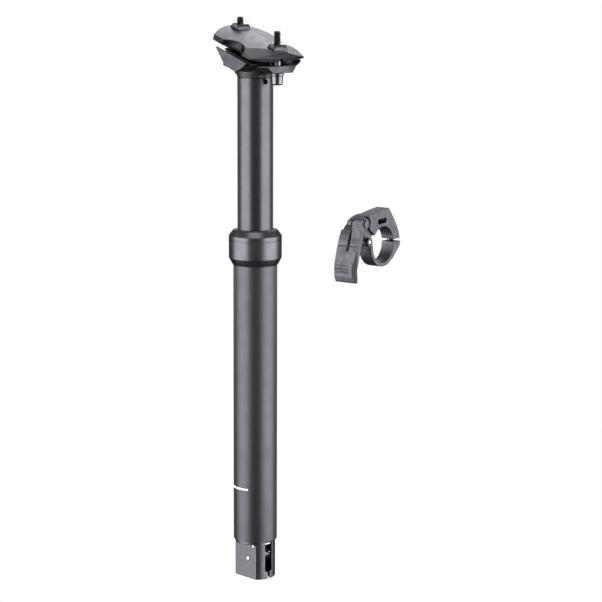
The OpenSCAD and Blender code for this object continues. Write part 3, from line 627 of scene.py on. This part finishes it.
def makeInnerTube():
    look = innerTubeLook
    low, high = span("inner_tube")
    radius = high.x
    bore = radius - look["wall"]
    outline = [(bore, low.z), (radius, low.z, look["lowEdge"]), (radius, high.z, look["topEdge"]),
               (bore, high.z)]
    vent = Matrix.Rotation(math.radians(look["ventTurn"]), 4, "Z") @ Vector((radius, 0, 0))
    centre = (vent.x, vent.y, high.z - look["ventBelow"])
    hole = rod(look["ventRadius"], look["ventLength"], centre, vent)
    makePiece("innerTube", carved(turned(outline, closed=True), hole), "slidingBlack", ["inner_tube"])


# Cap screws: a tapered head with a hexagon socket, and a darker rolled thread that stands out of the nut.
boltLook = {
    "frontHead": 6.6, "rearHead": 5.2, "shank": 2.5, "socket": 4,
    "endIn": 1, "endEdge": 0.3, "crownIn": 0.35, "crownHigh": 0.9, "rimHigh": 0.5, "rimEdge": 0.4,
    "seatIn": 0.25, "seatEdge": 0.15, "neckEdge": 0.1,
    "pitch": 0.8, "threadDeep": 0.42, "threadRun": 17, "chamfer": 0.5, "chamferEdge": 0.2, "sunk": 0.02,
    "turnSteps": 40, "steps": 96,
}


def makeBolt(name, node, headHeight):
    look = boltLook
    low, high = span(node)
    centre = (low + high) / 2
    head = high.x - centre.x
    shank = look["shank"]
    top = low.z + headHeight
    pitch = look["pitch"]
    root = shank - look["threadDeep"]
    chamfer = look["chamfer"]
    runs = int(look["threadRun"] / pitch)
    start = high.z - chamfer - runs * pitch
    body = turned([(0, low.z), (head - look["endIn"], low.z, look["endEdge"]),
                   (head - look["crownIn"], low.z + look["crownHigh"], look["endEdge"]),
                   (head, top - look["rimHigh"], look["rimEdge"]),
                   (head - look["seatIn"], top, look["seatEdge"]), (shank, top, look["neckEdge"]),
                   (shank, start), (0, start)], steps=look["steps"])
    socket = look["socket"] / 2 / math.cos(math.pi / 6)
    key = bmesh.new()
    bmesh.ops.create_cone(key, cap_ends=True, segments=6, radius1=socket, radius2=socket, depth=headHeight,
                          matrix=Matrix.Translation((0, 0, low.z)))
    mesh = carved(body, key)
    bmesh.ops.translate(mesh, vec=(centre.x, 0, 0), verts=mesh.verts)
    makePiece(name, mesh, "zincSteel", [node])
    mesh = turned([(0, start), (shank, start, look["neckEdge"]), (root, start + chamfer),
                   (root, high.z - chamfer), (root - chamfer, high.z, look["chamferEdge"]), (0, high.z)],
                  steps=look["steps"])
    addThread(mesh, shank, root - look["sunk"], start, pitch, runs - 1)
    bmesh.ops.translate(mesh, vec=(centre.x, 0, 0), verts=mesh.verts)
    makePiece(name + "Thread", mesh, "blackenedAndShadedSteel", [], bodyOf[node])


# Winds a thread's ridge round the Z axis and adds it to a mesh.
def addThread(mesh, crest, root, start, pitch, turns):
    ridge = bmesh.new()
    verts = [ridge.verts.new((r, 0, start + h)) for r, h in ((root, 0), (crest, pitch / 2), (root, pitch))]
    edges = [ridge.edges.new(pair) for pair in zip(verts, verts[1:])]
    turnSteps = boltLook["turnSteps"]
    bmesh.ops.spin(ridge, geom=verts + edges, cent=(0, 0, 0), axis=(0, 0, 1), angle=2 * math.pi * turns,
                   steps=turnSteps * turns, dvec=(0, 0, pitch / turnSteps))
    thread = bpy.data.meshes.new("scratch")
    ridge.to_mesh(thread)
    ridge.free()
    mesh.from_mesh(thread)
    bpy.data.meshes.remove(thread)


washerLook = {"bore": 2.52, "edge": 0.25}


def makeWasher(name, node):
    low, high = span(node)
    centre = (low + high) / 2
    radius = high.x - centre.x
    bore, edge = washerLook["bore"], washerLook["edge"]
    mesh = turned([(bore, low.z), (radius, low.z, edge), (radius, high.z, edge), (bore, high.z)], closed=True)
    bmesh.ops.translate(mesh, vec=(centre.x, 0, 0), verts=mesh.verts)
    makePiece(name, mesh, "zincSteel", [node])


# A rod across the post with broken edges, in the place of a CAD node, for a nut or a pin.
def crossRod(node, edge, steps):
    low, high = span(node)
    centre = (low + high) / 2
    radius, half = high.x - centre.x, high.y
    mesh = turned([(0, -half), (radius, -half, edge), (radius, half, edge), (0, half)], steps=steps)
    bmesh.ops.rotate(mesh, cent=(0, 0, 0), matrix=Matrix.Rotation(math.pi / 2, 3, "X"), verts=mesh.verts)
    bmesh.ops.translate(mesh, vec=centre, verts=mesh.verts)
    return mesh, centre


nutLook = {"edge": 0.7, "hole": 2.55, "holeLength": 20, "steps": 144}


# The nut's dark tone is partly painted shade of the pocket it sits in.
def makeNut(name, node):
    mesh, centre = crossRod(node, nutLook["edge"], nutLook["steps"])
    hole = rod(nutLook["hole"], nutLook["holeLength"], centre, (0, 0, 1))
    makePiece(name, carved(mesh, hole), "blackenedAndShadedSteel", [node])


pinLook = {"edge": 0.3, "guideEdge": 0.2, "steps": 64}


def makePin(name, node, edge):
    makePiece(name, crossRod(node, edge, pinLook["steps"])[0], "groundSteel", [node])


# The arm's tip is forked for the cable that would run between its cheeks.
armLook = {"bevel": 0.3, "forkWidth": 2.2, "forkFrom": 3.4, "forkLength": 10}


def makeActuatorArm():
    low, high = span("actuator_arm")
    start = high.x - armLook["forkFrom"]
    length = armLook["forkLength"]
    fork = bmesh.new()
    bmesh.ops.create_cube(fork, size=1)
    bmesh.ops.scale(fork, vec=(length, armLook["forkWidth"], 2 * (high.z - low.z)), verts=fork.verts)
    bmesh.ops.translate(fork, vec=(start + length / 2, 0, (low.z + high.z) / 2), verts=fork.verts)
    machined("actuatorArm", "actuator_arm", "groundSteel", armLook["bevel"], fork)


makeCamera()
makeLamps()
makeWorld()
makeFloor()
dressNodes()
bpy.context.scene.view_settings.view_transform = "Standard"
print("camera, lamps, floor and finishes made")

makeOuterTube()
makeInsertionLine()
makeSealCollar()
makeWiperSeal()
makeInnerTube()
print("tubes and collar made")
makeBolt("frontBolt", "front_bolt", boltLook["frontHead"])
makeBolt("rearBolt", "rear_bolt", boltLook["rearHead"])
makeWasher("frontWasher", "front_washer")
makeWasher("rearWasher", "rear_washer")
makeNut("frontNut", "front_nut")
makeNut("rearNut", "rear_nut")
makePin("pivotPin", "pivot_pin", pinLook["edge"])
makePin("crossPin", "cross_pin", pinLook["edge"])
makePin("guidePin", "guide_pin", pinLook["guideEdge"])
print("bolts, nuts and pins made")
forged("postHead", "post_head", "forgedBlack", **forgings["head"])
forged("lowerCradle", "lower_cradle", "forgedBlack", **forgings["railClamp"])
# The upper clamp's finish holds painted light: a lighter top and painted shade on its steep flanks.
forged("upperClamp", "upper_clamp", "litTopShadedFlankForging", **forgings["railClamp"])
print("head and rail clamp made")
forged("actuatorFoot", "foot", "milledBlack", **forgings["foot"])
makeActuatorArm()
machined("cableBarrel", "cable_barrel", "blackenedAndShadedSteel")
print("foot made")
forged("remoteBracket", "remote_bracket", "blastedGrey", **forgings["remoteClamp"])
forged("remoteBand", "remote_band", "blastedGrey", **forgings["remoteClamp"])
forged("remoteLever", "remote_lever", "blastedGrey", **forgings["remoteLever"])
machined("bandHingePin", "band_hinge_pin", "groundSteel", machinedLook["hingePinBevel"])
machined("bandBolt", "band_bolt", "zincSteel")
machined("leverPivotBolt", "lever_pivot_bolt", "blastedGrey", machinedLook["pivotBoltBevel"])
machined("cableAnchor", "cable_anchor", "zincSteel")
print("remote made")
